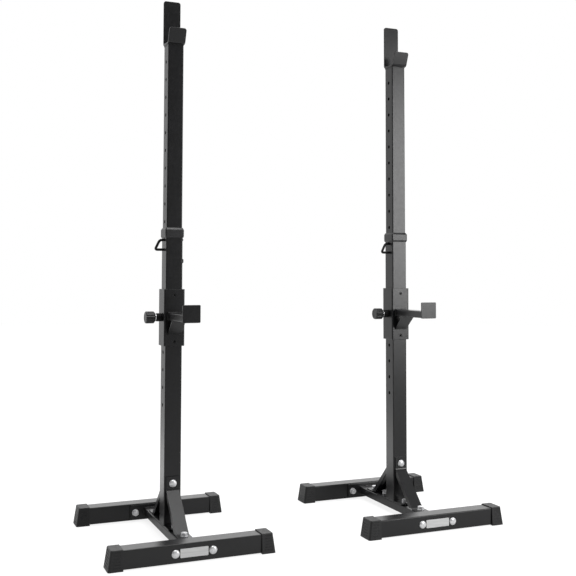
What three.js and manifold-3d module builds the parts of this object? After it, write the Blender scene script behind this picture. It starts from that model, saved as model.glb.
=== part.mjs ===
// A pair of squat stands. Each has two tube feet, a cross-beam, a braced square upright,
// a mast with a bar hook that slides in the upright, and a carriage with a bar catch on it.
// Millimetres, +Z up, +X to the right along the feet, +Y to the rear.
// The origin is on the floor, midway between the two stands and between their feet.

import * as THREE from "three";
import { mergeVertices } from "three/addons/utils/BufferGeometryUtils.js";
import Module from "manifold-3d";

const wasm = await Module();
wasm.setup();

// Clearances and cuts
const seatGap = 0.3; // between pieces that bear on each other
const overrun = 3; // how far a cutter runs past the face that it cuts
const weldSink = 1; // how far the members of one weldment run into each other
const weldDistance = 1e-3; // points closer than this are one point

// The pair
const standSpacing = 782;

// Foot tubes
const footSize = 52;
const footWall = 2;
const footCorner = 3;
const footLength = 456;
const frontFootSetback = 230; // from the upright's axis to each foot's
const rearFootSetback = 252;

// Shoes on the foot ends
const shoeFloor = 1.7;
const shoeReach = 29; // hold along the tube
const shoeWall = 2.2; // at the top, beside and over the tube
const shoeEnd = 4.7; // thickness of the end at the top
const shoeEndFlare = 8; // how far the end leans out towards the floor
const shoeSideFlare = 3.5;
const shoeCorner = 6;
const shoeRimCorner = 1.5;
const shoeTopEdge = 2; // softened edge round the top

// Cross-beam with its end flanges
const beamWidth = 50;
const beamHeight = 25;
const beamWall = 2;
const beamCorner = 3;
const flangeEdge = 16; // plate beyond the axis of each foot bolt
const flangeHeight = 45;
const flangeThickness = 5;
const flangeCorner = 4;

// Fasteners: one thread size all over
const boltRadius = 5;
const boltHoleRadius = boltRadius + seatGap;
const domeRadius = 11.5;
const domeHeight = 5.5;
const domeRim = 1.2; // straight edge under the dome
const nutAcrossFlats = 17;
const nutHeight = 9;
const washerRadius = 10.5;
const washerThickness = 2;
const threadEnd = 5; // thread that stands out of the nut
const threadChamfer = 1;
const footBoltOffset = 54; // from the stand's middle plane

// Base plate and upright tube
const basePlateThickness = 4;
const basePlateEdge = 20; // plate beyond the axis of each of its bolts
const frontBaseBolt = 55;
const rearBaseBolt = 78;
const uprightSize = 52;
const uprightWall = 1.2;
const uprightCorner = 3;
const uprightTop = 930;
const lockHoleDrop = 29; // holes and screw lie this far below the upright's top
const lockHoleRadius = 5;
const springPinDrop = 266.5;
const sideScrewDrop = 95;
const carriageHoleRadius = 5.1;
const carriageHolePitch = 53;
const carriageHolesBelow = 5;
const carriageHolesAbove = 1;
const sideScrewRadius = 4;
const sideScrewAcrossFlats = 13;
const sideScrewHeadHeight = 8; // the head with its lock nut

// Braces
const braceWidth = 40;
const braceThickness = 3.2;
const braceTop = 188;
const braceBoltDrop = 20.5; // upper bolt and upper bend below the brace's top
const braceBendDrop = 40;
const braceToeGap = 23.7; // between the brace's toe and the flange
const braceBoltInset = 20; // lower bolt and lower bend from the toe
const braceBendInset = 41;
const braceBend = 4;
const braceFlangeDepth = 11;

// Collar on the upright
const collarWall = 3.2;
const collarCap = 5.7; // over the upright's end
const collarPinGap = 1.2; // between the lock pin and the collar
const collarCorner = 4;
const collarLowerChamfer = 5;
const collarLowerInset = 1.6;
const collarUpperChamfer = 10;
const collarUpperInset = 3.4;

// Mast and its hook
const mastSlack = 0.3; // between the mast and the upright's bore
const mastWall = 1.5;
const mastCorner = 3;
const mastTailBelowHole = 44; // mast end below its lowest hole
const mastHeadAboveHole = 53.4; // mast end above its highest hole
const mastHoleRadius = 5;
const mastHolePitch = 55;
const mastHolesBelow = 2;
const mastHolesAbove = 10;
const hookWidth = 54;
const hookThickness = 5;
const hookBackStep = 2; // from the mast's rear face to the middle of the back plate
const hookBackRise = 145.5; // heights above the mast's end
const hookLipRise = 46;
const hookLipFoot = 29.5; // from the mast's axis to the lip's foot
const hookLipTip = 46.5;
const hookBend = 9;
const hookCorner = 5;

// Bent wire lock pin
const pinRadius = 4;
const pinTipStand = 8; // tip beyond the upright's right face
const pinTipChamfer = 1.2;
const pinHandleStand = 2; // straight wire between the upright and the first bend
const pinHandleLean = 20.5; // how far the handle leans out
const pinHandleDrop = 31; // how far the lower leg lies under the pin
const pinBend = 6; // how far each bend starts from its corner

// Carriage sleeve and liner
const sleeveWall = 3;
const sleeveCorner = 4;
const sleeveBelowPin = 86; // sleeve below and above the spring pin's axis
const sleeveAbovePin = 85.5;
const linerWall = 2.65;
const linerCorner = 3.3;
const linerButtonRadius = 4;
const linerLowerInset = 14; // from the sleeve's ends to its two buttons
const linerUpperInset = 18;
const linerButtonHeight = 2.4;

// Catch arm
const armWidth = 42;
const armHeight = 22;
const armWall = 2;
const armCorner = 2.5;
const armUnder = 7; // underside of the arm below the spring pin's axis
const armFront = 212; // front face of the end plate
const endPlateWidth = 53;
const endPlateHeight = 51;
const endPlateThickness = 4;
const endPlateDrop = 1; // how far the plate hangs below the arm
const endPlateCorner = 2;
const gussetThickness = 4;
const gussetReach = 86; // from the upright's axis to the gusset's upper edge
const gussetDepth = 45; // from the arm's underside to the gusset's foot

// Spring pin
const noseReach = 1; // into the upright's wall from its outer face
const barrelRadius = 12.5;
const barrelReach = 17;
const barrelEdge = 1.2;
const barrelSpigotWall = 1.6;
const barrelInnerWall = 1.7;
const barrelOuterWall = 2;
const shoulderRadius = 6;
const shoulderSlack = 0.4; // between the shoulder and the barrel's bore
const shoulderThickness = 2;
const stemRadius = 3;
const knobRadius = 18.5;
const knobFluteDepth = 1.5;
const knobFluteShares = [[0, 0], [0.45, 0], [0.725, 1]]; // shares of a flute's turn and depth
const knobNeckRadius = 9;
const knobNeckLength = 4;
const knobLength = 29;
const knobEdge = 2;
const springWire = 0.5; // radius of the wire
const springTurns = 5;

// How finely round forms are divided
const holeSides = 8;
const boltSides = 10;
const turnedSides = 12;
const knobFlutes = 10;
const bendSteps = 4;
const cornerSteps = 1;
const roundSteps = 2;
const domeSteps = 2;
const pinSides = 8;
const pinSteps = 18;
const springSides = 5;
const springSteps = 7;

// Places that follow from the sizes above
const footBottom = shoeFloor + seatGap;
const footTop = footBottom + footSize;
const footAxis = footBottom + footSize / 2;
const frontFlangeFace = frontFootSetback - footSize / 2 - seatGap;
const rearFlangeFace = rearFootSetback - footSize / 2 - seatGap;
const flangeWidth = 2 * (footBoltOffset + flangeEdge);
const beamTop = footAxis + beamHeight / 2;
const beamBottom = footAxis - beamHeight / 2;
const basePlateBottom = beamTop + seatGap;
const basePlateTop = basePlateBottom + basePlateThickness;
const uprightHalf = uprightSize / 2;
const lockHoleHeight = uprightTop - lockHoleDrop;
const springPinHeight = uprightTop - springPinDrop;
const sideScrewHeight = uprightTop - sideScrewDrop;
const braceToe = frontFlangeFace - flangeThickness - braceToeGap;
const braceReach = braceToe - braceBendInset;
const braceBoltReach = braceToe - braceBoltInset;
const braceBendTop = braceTop - braceBendDrop;
const braceBoltHeight = braceTop - braceBoltDrop;
const pinHeight = lockHoleHeight - lockHoleRadius + pinRadius + seatGap;
const pinTip = uprightHalf + pinTipStand;
const pinHandleTop = uprightHalf + pinHandleStand + pinBend;
const pinHandleOut = pinHandleTop + pinHandleLean;
const collarSize = uprightSize + 2 * (seatGap + collarWall);
const collarBottom = pinHeight + pinRadius + collarPinGap;
const collarTop = uprightTop + seatGap + collarCap;
const mastSize = uprightSize - 2 * (uprightWall + mastSlack);
const mastHoleHeight = pinHeight + pinRadius + seatGap - mastHoleRadius;
const mastBottom = mastHoleHeight - mastHolesBelow * mastHolePitch - mastTailBelowHole;
const mastTop = mastHoleHeight + mastHolesAbove * mastHolePitch + mastHeadAboveHole;
const hookBack = mastSize / 2 + hookBackStep;
const hookBackTop = mastTop + hookBackRise;
const hookLipTop = mastTop + hookLipRise;
const linerInner = uprightHalf + seatGap;
const linerOuter = linerInner + linerWall;
const sleeveHalf = linerOuter + seatGap + sleeveWall;
const sleeveSize = 2 * sleeveHalf;
const sleeveBottom = springPinHeight - sleeveBelowPin;
const sleeveTop = springPinHeight + sleeveAbovePin;
const armBottom = springPinHeight - armUnder;
const armTop = armBottom + armHeight;
const noseRadius = carriageHoleRadius - seatGap;
const barrelBoreRadius = shoulderRadius + shoulderSlack;
const barrelSpigotRadius = barrelBoreRadius + barrelSpigotWall;
const barrelTip = -sleeveWall;
const shoulderFace = barrelTip + barrelInnerWall + seatGap;
const springInner = shoulderFace + shoulderThickness + seatGap;
const springOuter = barrelReach - barrelOuterWall - seatGap;
const springCoil = shoulderRadius - 2 * springWire;
const knobNeck = barrelReach + seatGap;
const knobShoulder = knobNeck + knobNeckLength;
const knobEnd = knobShoulder + knobLength;

const finishes = {
  paint: { color: 0x1d1d1f, roughness: 0.42, metalness: 0.25 },
  rubber: { color: 0x151516, roughness: 0.75, metalness: 0 },
  plastic: { color: 0x2a2a2c, roughness: 0.5, metalness: 0 },
  zinc: { color: 0xc9ccd0, roughness: 0.3, metalness: 1 },
  blackSteel: { color: 0x0c0c0d, roughness: 0.4, metalness: 0.6 },
  springSteel: { color: 0x9a9da1, roughness: 0.35, metalness: 1 },
};

// A closed solid from a three.js geometry, with its shared points merged.
function solid(geometry) {
  const loose = geometry.index ? geometry.toNonIndexed() : geometry;
  const bare = new THREE.BufferGeometry();
  bare.setAttribute("position", loose.getAttribute("position"));
  const merged = mergeVertices(bare, weldDistance);
  return new wasm.Manifold(
    new wasm.Mesh({
      numProp: 3,
      vertProperties: merged.getAttribute("position").array,
      triVerts: new Uint32Array(merged.index.array),
    }),
  );
}

function join(first, ...others) {
  return others.reduce((sum, other) => sum.add(other), first);
}

function cut(first, ...cutters) {
  return cutters.reduce((rest, cutter) => rest.subtract(cutter), first);
}

// A named mesh with flat faces and its own material.
function piece(name, made, finish) {
  const { vertProperties, triVerts, numProp } = made.getMesh();
  const geometry = new THREE.BufferGeometry();
  const points = new THREE.BufferAttribute(new Float32Array(vertProperties), numProp);
  geometry.setAttribute("position", points);
  geometry.setIndex(new THREE.BufferAttribute(new Uint32Array(triVerts), 1));
  geometry.computeVertexNormals();
  const material = new THREE.MeshStandardMaterial({ ...finishes[finish], flatShading: true });
  const mesh = new THREE.Mesh(geometry, material);
  mesh.name = name;
  return mesh;
}

function block(x0, x1, y0, y1, z0, z1) {
  const geometry = new THREE.BoxGeometry(x1 - x0, y1 - y0, z1 - z0);
  geometry.translate((x0 + x1) / 2, (y0 + y1) / 2, (z0 + z1) / 2);
  return solid(geometry);
}

// A round bar or drill along one axis, from one place on it to another.
function barGeometry(axis, radius, from, to, sides, endRadius = radius) {
  const geometry = new THREE.CylinderGeometry(endRadius, radius, to - from, sides);
  geometry.translate(0, (from + to) / 2, 0);
  if (axis === "x") geometry.rotateZ(-Math.PI / 2);
  if (axis === "z") geometry.rotateX(Math.PI / 2);
  return geometry;
}

function barX(radius, from, to, y, z, sides) {
  return solid(barGeometry("x", radius, from, to, sides).translate(0, y, z));
}

function barY(radius, from, to, x, z, sides) {
  return solid(barGeometry("y", radius, from, to, sides).translate(x, 0, z));
}

function barZ(radius, from, to, x, y, sides) {
  return solid(barGeometry("z", radius, from, to, sides).translate(x, y, 0));
}

// Round holes: the flats of each drill lie at the radius asked for.
const drillShare = 1 / Math.cos(Math.PI / holeSides);

function drillX(radius, from, to, y, z) {
  return barX(radius * drillShare, from, to, y, z, holeSides);
}

function drillY(radius, from, to, x, z) {
  return barY(radius * drillShare, from, to, x, z, holeSides);
}

function drillZ(radius, from, to, x, y) {
  return barZ(radius * drillShare, from, to, x, y, holeSides);
}

// Outline of a rectangle about the origin with round corners.
function roundedOutline(path, width, height, radius) {
  const x = width / 2;
  const y = height / 2;
  path.moveTo(x, radius - y);
  path.lineTo(x, y - radius);
  path.absarc(x - radius, y - radius, radius, 0, Math.PI / 2);
  path.lineTo(radius - x, y);
  path.absarc(radius - x, y - radius, radius, Math.PI / 2, Math.PI);
  path.lineTo(-x, radius - y);
  path.absarc(radius - x, radius - y, radius, Math.PI, 1.5 * Math.PI);
  path.lineTo(x - radius, -y);
  path.absarc(x - radius, radius - y, radius, 1.5 * Math.PI, 2 * Math.PI);
  return path;
}

// Outline of a regular polygon that stands for a circle.
function ringOutline(radius, sides) {
  const points = [];
  for (let k = 0; k < sides; k++) {
    const angle = (2 * Math.PI * k) / sides;
    points.push(new THREE.Vector2(radius * Math.cos(angle), radius * Math.sin(angle)));
  }
  return new THREE.Shape(points);
}

function prism(shape, length, curveSegments = cornerSteps) {
  return new THREE.ExtrudeGeometry(shape, {
    depth: length,
    bevelEnabled: false,
    curveSegments,
  });
}

function roundedBar(width, height, radius, length) {
  return prism(roundedOutline(new THREE.Shape(), width, height, radius), length);
}

// A rectangular tube that stands on the origin along Z.
function tubeGeometry(width, height, wall, radius, length) {
  const shape = roundedOutline(new THREE.Shape(), width, height, radius);
  const x = width / 2 - wall;
  const y = height / 2 - wall;
  const bore = [[-x, -y], [-x, y], [x, y], [x, -y]].map(([u, v]) => new THREE.Vector2(u, v));
  shape.holes.push(new THREE.Path(bore));
  return prism(shape, length);
}

// Geometry made along Z, turned so that it runs along X or Y instead.
function alongX(geometry) {
  return geometry.rotateZ(Math.PI / 2).rotateY(Math.PI / 2);
}

function alongY(geometry) {
  return geometry.rotateX(-Math.PI / 2);
}

// A side outline, drawn with its first coordinate along Y and its second up, as a plate
// of the given width about the middle plane.
function sidePlate(shape, width, curveSegments = cornerSteps) {
  const geometry = prism(shape, width, curveSegments);
  geometry.rotateX(Math.PI / 2).rotateZ(Math.PI / 2);
  return geometry.translate(-width / 2, 0, 0);
}

// Outline of a bent strip: a centre line with round bends, and a half thickness each side.
function stripOutline(corners, thickness, bendRadius) {
  const line = [];
  const last = corners.length - 1;
  corners.forEach((corner, i) => {
    if (i === 0 || i === last) {
      const along = i ? corner.clone().sub(corners[i - 1]) : corners[1].clone().sub(corner);
      line.push([corner, along.normalize()]);
      return;
    }
    const before = corner.clone().sub(corners[i - 1]).normalize();
    const after = corners[i + 1].clone().sub(corner).normalize();
    const turn = Math.atan2(before.cross(after), before.dot(after));
    const reach = bendRadius * Math.tan(Math.abs(turn) / 2);
    const start = corner.clone().addScaledVector(before, -reach);
    const side = new THREE.Vector2(-before.y, before.x).multiplyScalar(Math.sign(turn));
    const centre = start.clone().addScaledVector(side, bendRadius);
    for (let k = 0; k <= bendSteps; k++) {
      const angle = (turn * k) / bendSteps;
      const spoke = side.clone().negate().rotateAround(new THREE.Vector2(), angle);
      const point = centre.clone().addScaledVector(spoke, bendRadius);
      line.push([point, before.clone().rotateAround(new THREE.Vector2(), angle)]);
    }
  });
  const shifted = (amount) =>
    line.map(([p, d]) => new THREE.Vector2(p.x - d.y * amount, p.y + d.x * amount));
  return new THREE.Shape([...shifted(-thickness / 2), ...shifted(thickness / 2).reverse()]);
}

// The points of an outline, each of them once.
function outlinePoints(shape, steps) {
  const points = shape.getPoints(steps);
  return points.filter((p, i) => p.distanceTo(points[(i + 1) % points.length]) > weldDistance);
}

// A closed solid through outlines with equal counts of points, each at its own height.
function loft(levels) {
  const count = levels[0].points.length;
  const at = (level, i) => {
    const p = level.points[i % count];
    return [p.x, p.y, level.height];
  };
  const positions = [];
  levels.slice(1).forEach((upper, n) => {
    const lower = levels[n];
    for (let i = 0; i < count; i++) {
      positions.push(...at(lower, i), ...at(lower, i + 1), ...at(upper, i + 1));
      positions.push(...at(lower, i), ...at(upper, i + 1), ...at(upper, i));
    }
  });
  const foot = levels[0];
  const head = levels[levels.length - 1];
  THREE.ShapeUtils.triangulateShape(foot.points, []).forEach(([a, b, c]) => {
    positions.push(...at(foot, a), ...at(foot, c), ...at(foot, b));
    positions.push(...at(head, a), ...at(head, b), ...at(head, c));
  });
  const geometry = new THREE.BufferGeometry();
  geometry.setAttribute("position", new THREE.Float32BufferAttribute(positions, 3));
  return solid(geometry);
}

// Plan of a shoe: square towards the stand, rounded at its outer corners.
function shoeOutline(inner, outer, half, outerCorner, innerCorner) {
  const shape = new THREE.Shape();
  shape.moveTo(inner + innerCorner, -half);
  shape.lineTo(outer - outerCorner, -half);
  shape.absarc(outer - outerCorner, outerCorner - half, outerCorner, -Math.PI / 2, 0);
  shape.lineTo(outer, half - outerCorner);
  shape.absarc(outer - outerCorner, half - outerCorner, outerCorner, 0, Math.PI / 2);
  shape.lineTo(inner + innerCorner, half);
  shape.lineTo(inner, half - innerCorner);
  shape.lineTo(inner, innerCorner - half);
  shape.closePath();
  return outlinePoints(shape, roundSteps);
}

// A shoe for the right-hand end of a foot, with the tube's end at the origin.
function makeShoe() {
  const bore = footSize / 2 + seatGap;
  const topHalf = bore + shoeWall;
  const topHeight = footTop + seatGap + shoeWall;
  const spread = topHeight - shoeTopEdge;
  const level = (height, inset) => {
    const drop = 1 - height / topHeight;
    const outer = seatGap + shoeEnd + shoeEndFlare * drop - inset;
    const half = topHalf + shoeSideFlare * drop - inset;
    return {
      height,
      points: shoeOutline(-shoeReach + inset / 2, outer, half, shoeCorner, shoeRimCorner),
    };
  };
  const body = loft([level(0, 0), level(spread, 0), level(topHeight, shoeTopEdge / 2)]);
  const pocketSize = footSize + 2 * seatGap;
  const pocket = roundedBar(pocketSize, pocketSize, footCorner, shoeReach + seatGap + overrun);
  alongX(pocket).translate(-shoeReach - overrun, 0, footAxis);
  return cut(body, solid(pocket));
}

// A foot tube along X about the stand's middle plane, on its axis.
function makeFoot() {
  const tube = tubeGeometry(footSize, footSize, footWall, footCorner, footLength);
  const reach = footSize / 2 + overrun;
  const holes = [-footBoltOffset, footBoltOffset].map((x) =>
    drillY(boltHoleRadius, -reach, reach, x, 0),
  );
  return cut(solid(alongX(tube).translate(-footLength / 2, 0, 0)), ...holes);
}

function makeBeam() {
  const sunk = flangeThickness - weldSink;
  const front = sunk - frontFlangeFace;
  const rear = rearFlangeFace - sunk;
  const tube = tubeGeometry(beamWidth, beamHeight, beamWall, beamCorner, rear - front);
  const members = [solid(alongY(tube).translate(0, front, footAxis))];
  const holes = [];
  for (const start of [-frontFlangeFace, rearFlangeFace - flangeThickness]) {
    const plate = roundedBar(flangeWidth, flangeHeight, flangeCorner, flangeThickness);
    members.push(solid(alongY(plate).translate(0, start, footAxis)));
    const ends = [start - overrun, start + flangeThickness + overrun];
    for (const x of [-footBoltOffset, footBoltOffset]) {
      holes.push(drillY(boltHoleRadius, ...ends, x, footAxis));
    }
  }
  for (const y of [-braceBoltReach, -frontBaseBolt, rearBaseBolt, braceBoltReach]) {
    holes.push(drillZ(boltHoleRadius, beamBottom - overrun, beamTop + overrun, 0, y));
  }
  return cut(join(...members), ...holes);
}

function makeUpright() {
  const bottom = basePlateTop - weldSink;
  const length = uprightTop - bottom;
  const tube = tubeGeometry(uprightSize, uprightSize, uprightWall, uprightCorner, length);
  const plate = block(
    -uprightHalf,
    uprightHalf,
    -frontBaseBolt - basePlateEdge,
    rearBaseBolt + basePlateEdge,
    basePlateBottom,
    basePlateTop,
  );
  const reach = uprightHalf + overrun;
  const across = (radius, height) => drillX(radius, -reach, reach, 0, height);
  const holes = [across(lockHoleRadius, lockHoleHeight)];
  for (let k = -carriageHolesBelow; k <= carriageHolesAbove; k++) {
    holes.push(across(carriageHoleRadius, springPinHeight + k * carriageHolePitch));
  }
  holes.push(drillX(sideScrewRadius + seatGap, 0, reach, 0, sideScrewHeight));
  holes.push(drillY(boltHoleRadius, -reach, reach, 0, braceBoltHeight));
  for (const y of [-frontBaseBolt, rearBaseBolt]) {
    const ends = [basePlateBottom - overrun, basePlateTop + overrun];
    holes.push(drillZ(boltHoleRadius, ...ends, 0, y));
  }
  return cut(join(solid(tube.translate(0, 0, bottom)), plate), ...holes);
}

// A pressed channel brace, in front of the upright.
function makeBrace() {
  const half = braceThickness / 2;
  const face = uprightHalf + seatGap;
  const floor = beamTop + seatGap;
  const corners = [
    new THREE.Vector2(-face - half, braceTop),
    new THREE.Vector2(-face - half, braceBendTop),
    new THREE.Vector2(-braceReach, floor + half),
    new THREE.Vector2(-braceToe, floor + half),
  ];
  const web = solid(sidePlate(stripOutline(corners, braceThickness, braceBend), braceWidth));
  const [, upper, lower] = corners;
  const slope = lower.clone().sub(upper);
  const inward = new THREE.Vector2(-slope.y, slope.x).normalize();
  const back = (point, depth) => point.clone().addScaledVector(inward, depth);
  const side = new THREE.Shape([
    upper,
    lower,
    back(lower, half + braceFlangeDepth),
    back(upper, half + braceFlangeDepth),
  ]);
  const room = block(-braceWidth, braceWidth, -braceToe, -face, floor, braceTop);
  const flanges = [-1, 1].map((hand) => {
    const plate = sidePlate(side, braceThickness);
    plate.translate((hand * (braceWidth - braceThickness)) / 2, 0, 0);
    return solid(plate).intersect(room);
  });
  const reach = braceThickness + overrun;
  return cut(
    join(web, ...flanges),
    drillY(boltHoleRadius, -face - reach, -face + overrun, 0, braceBoltHeight),
    drillZ(boltHoleRadius, floor - overrun, floor + reach, 0, -braceBoltReach),
  );
}

// A round-headed bolt with its washer and nut, along +Z from the seat under its head.
// The grip is the thickness that it holds.
function makeBolt(grip) {
  const washer = seatGap + grip + seatGap;
  const nut = washer + washerThickness;
  const tip = nut + nutHeight + threadEnd;
  const profile = [new THREE.Vector2(0, -domeHeight)];
  for (let k = domeSteps - 1; k > 0; k--) {
    const angle = (Math.PI / 2) * (k / domeSteps);
    const rise = (domeHeight - domeRim) * Math.sin(angle);
    profile.push(new THREE.Vector2(domeRadius * Math.cos(angle), -domeRim - rise));
  }
  profile.push(
    new THREE.Vector2(domeRadius, -domeRim),
    new THREE.Vector2(domeRadius, 0),
    new THREE.Vector2(boltRadius, 0),
    new THREE.Vector2(boltRadius, washer),
    new THREE.Vector2(washerRadius, washer),
    new THREE.Vector2(washerRadius, nut),
    new THREE.Vector2(boltRadius, nut),
    new THREE.Vector2(boltRadius, tip - threadChamfer),
    new THREE.Vector2(boltRadius - threadChamfer, tip),
    new THREE.Vector2(0, tip),
  );
  const shank = new THREE.LatheGeometry(profile, boltSides).rotateX(Math.PI / 2);
  const nutRadius = nutAcrossFlats / 2 / Math.cos(Math.PI / 6);
  return join(solid(shank), barZ(nutRadius, nut - washerThickness / 2, nut + nutHeight, 0, 0, 6));
}

// The hexagon screw in the upright's side, along +Z from the seat under its head.
function makeSideScrew() {
  const headRadius = sideScrewAcrossFlats / 2 / Math.cos(Math.PI / 6);
  const tip = uprightHalf - mastSize / 2;
  return join(
    barZ(headRadius, -sideScrewHeadHeight, 0, 0, 0, 6),
    barZ(sideScrewRadius, -sideScrewHeadHeight / 2, tip, 0, 0, boltSides),
  );
}

function squareLevel(size, radius, height) {
  const outline = roundedOutline(new THREE.Shape(), size, size, radius);
  return { height, points: outlinePoints(outline, cornerSteps) };
}

function makeCollar() {
  const lower = collarSize - 2 * collarLowerInset;
  const upper = collarSize - 2 * collarUpperInset;
  const body = loft([
    squareLevel(lower, collarCorner, collarBottom),
    squareLevel(collarSize, collarCorner, collarBottom + collarLowerChamfer),
    squareLevel(collarSize, collarCorner, collarTop - collarUpperChamfer),
    squareLevel(upper, collarCorner, collarTop),
  ]);
  const pocketSize = uprightSize + 2 * seatGap;
  const pocketDepth = uprightTop + seatGap - collarBottom + overrun;
  const pocket = roundedBar(pocketSize, pocketSize, uprightCorner, pocketDepth);
  const boreSize = mastSize + 2 * seatGap;
  const bore = roundedBar(boreSize, boreSize, mastCorner, collarTop - collarBottom + 2 * overrun);
  return cut(
    body,
    solid(pocket.translate(0, 0, collarBottom - overrun)),
    solid(bore.translate(0, 0, collarBottom - overrun)),
  );
}

function makeMast() {
  const tube = tubeGeometry(mastSize, mastSize, mastWall, mastCorner, mastTop - mastBottom);
  const reach = mastSize / 2 + overrun;
  const holes = [];
  for (let k = -mastHolesBelow; k <= mastHolesAbove; k++) {
    const height = mastHoleHeight + k * mastHolePitch;
    holes.push(drillX(mastHoleRadius, -reach, reach, 0, height));
  }
  return cut(solid(tube.translate(0, 0, mastBottom)), ...holes);
}

// What is left to cut from a plate's two upper corners to round them.
function cornerTrim(width, top, radius, y0, y1) {
  const outline = roundedOutline(new THREE.Shape(), width, 4 * radius, radius);
  const kept = prism(outline, y1 - y0 + 2 * overrun, roundSteps).rotateX(Math.PI / 2);
  kept.translate(0, y1 + overrun, top - 2 * radius);
  const half = width / 2 + overrun;
  return cut(block(-half, half, y0, y1, top - radius, top + overrun), solid(kept));
}

// The bar hook: one plate with a tall back and a short lip that leans forward.
function makeHook() {
  const middle = mastTop + seatGap + hookThickness / 2;
  const corners = [
    new THREE.Vector2(hookBack, hookBackTop),
    new THREE.Vector2(hookBack, middle),
    new THREE.Vector2(-hookLipFoot, middle),
    new THREE.Vector2(-hookLipTip, hookLipTop),
  ];
  const plate = solid(sidePlate(stripOutline(corners, hookThickness, hookBend), hookWidth));
  const reach = hookBack + hookThickness;
  return cut(
    plate,
    cornerTrim(hookWidth, hookBackTop, hookCorner, 0, reach),
    cornerTrim(hookWidth, hookLipTop, hookCorner, -hookLipTip - hookThickness, -hookLipFoot),
  );
}

// The lock pin: a straight pin with a bent wire handle at its left end.
function makeLockPin() {
  const straight = barX(pinRadius, -pinHandleTop + pinBend, pinTip - pinTipChamfer, 0, 0, holeSides);
  const nose = barGeometry(
    "x",
    pinRadius,
    pinTip - pinTipChamfer,
    pinTip,
    holeSides,
    pinRadius - pinTipChamfer,
  );
  const start = new THREE.Vector3(-uprightHalf, 0, 0);
  const top = new THREE.Vector3(-pinHandleTop, 0, 0);
  const low = new THREE.Vector3(-pinHandleOut, 0, -pinHandleDrop);
  const end = new THREE.Vector3(-uprightHalf - seatGap, 0, -pinHandleDrop);
  const near = (corner, other) => other.clone().sub(corner).setLength(pinBend).add(corner);
  const route = new THREE.CurvePath();
  route.add(new THREE.LineCurve3(start, near(top, start)));
  route.add(new THREE.QuadraticBezierCurve3(near(top, start), top, near(top, low)));
  route.add(new THREE.LineCurve3(near(top, low), near(low, top)));
  route.add(new THREE.QuadraticBezierCurve3(near(low, top), low, near(low, end)));
  route.add(new THREE.LineCurve3(near(low, end), end));
  const handle = new THREE.ExtrudeGeometry(ringOutline(pinRadius, pinSides), {
    steps: pinSteps,
    extrudePath: route,
  });
  return join(straight, solid(nose), solid(handle));
}

function makeSleeve() {
  const height = sleeveTop - sleeveBottom;
  const tube = tubeGeometry(sleeveSize, sleeveSize, sleeveWall, sleeveCorner, height);
  const buttons = [sleeveBottom + linerLowerInset, sleeveTop - linerUpperInset].map((z) =>
    drillY(linerButtonRadius + seatGap, -sleeveHalf - overrun, 0, 0, z),
  );
  const ends = [-sleeveHalf - overrun, 0];
  const seat = drillX(barrelSpigotRadius + seatGap, ...ends, 0, springPinHeight);
  return cut(solid(tube.translate(0, 0, sleeveBottom)), ...buttons, seat);
}

function makeLiner() {
  const wall = linerOuter - linerInner;
  const height = sleeveTop - sleeveBottom;
  const corner = linerCorner + wall;
  const tube = tubeGeometry(2 * linerOuter, 2 * linerOuter, wall, corner, height);
  const buttons = [sleeveBottom + linerLowerInset, sleeveTop - linerUpperInset].map((z) => {
    const ends = [-linerOuter - linerButtonHeight, -linerInner - wall / 2];
    return barY(linerButtonRadius, ...ends, 0, z, holeSides);
  });
  const ends = [-linerOuter - overrun, 0];
  const hole = drillX(noseRadius + seatGap, ...ends, 0, springPinHeight);
  return cut(join(solid(tube.translate(0, 0, sleeveBottom)), ...buttons), hole);
}

// The catch arm: a flat tube with an upright end plate and a slanted gusset plate under it.
function makeArm() {
  const root = sleeveHalf + seatGap;
  const plateBack = armFront - endPlateThickness;
  const length = plateBack + weldSink - root;
  const tube = tubeGeometry(armWidth, armHeight, armWall, armCorner, length);
  alongY(tube).translate(0, -root - length, (armBottom + armTop) / 2);
  const plate = roundedBar(endPlateWidth, endPlateHeight, endPlateCorner, endPlateThickness);
  const plateMiddle = armBottom - endPlateDrop + endPlateHeight / 2;
  alongY(plate).translate(0, -armFront, plateMiddle);
  const foot = new THREE.Vector2(-root, armBottom - gussetDepth);
  const head = new THREE.Vector2(-gussetReach, armBottom + weldSink);
  const slope = head.clone().sub(foot).normalize();
  const across = new THREE.Vector2(slope.y, -slope.x).multiplyScalar(gussetThickness);
  const long = foot.clone().addScaledVector(slope, -gussetThickness);
  const gusset = new THREE.Shape([long, head, head.clone().add(across), long.clone().add(across)]);
  const room = block(-armWidth, armWidth, -armFront, -root, sleeveBottom, armBottom + weldSink);
  const web = solid(sidePlate(gusset, armWidth)).intersect(room);
  return join(solid(tube), solid(plate), web);
}

// Turned pieces of the spring pin are drawn outward from the sleeve's left face.
function turned(profile, sides) {
  const points = profile.map(([radius, out]) => new THREE.Vector2(radius, out));
  return solid(new THREE.LatheGeometry(points, sides).rotateZ(Math.PI / 2));
}

function makeBarrel() {
  return turned(
    [
      [noseRadius + seatGap, barrelTip],
      [barrelSpigotRadius, barrelTip],
      [barrelSpigotRadius, seatGap],
      [barrelRadius - barrelEdge, seatGap],
      [barrelRadius, seatGap + barrelEdge],
      [barrelRadius, barrelReach - barrelEdge],
      [barrelRadius - barrelEdge, barrelReach],
      [stemRadius + seatGap, barrelReach],
      [stemRadius + seatGap, barrelReach - barrelOuterWall],
      [barrelBoreRadius, barrelReach - barrelOuterWall],
      [barrelBoreRadius, barrelTip + barrelInnerWall],
      [noseRadius + seatGap, barrelTip + barrelInnerWall],
      [noseRadius + seatGap, barrelTip],
    ],
    turnedSides,
  );
}

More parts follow.
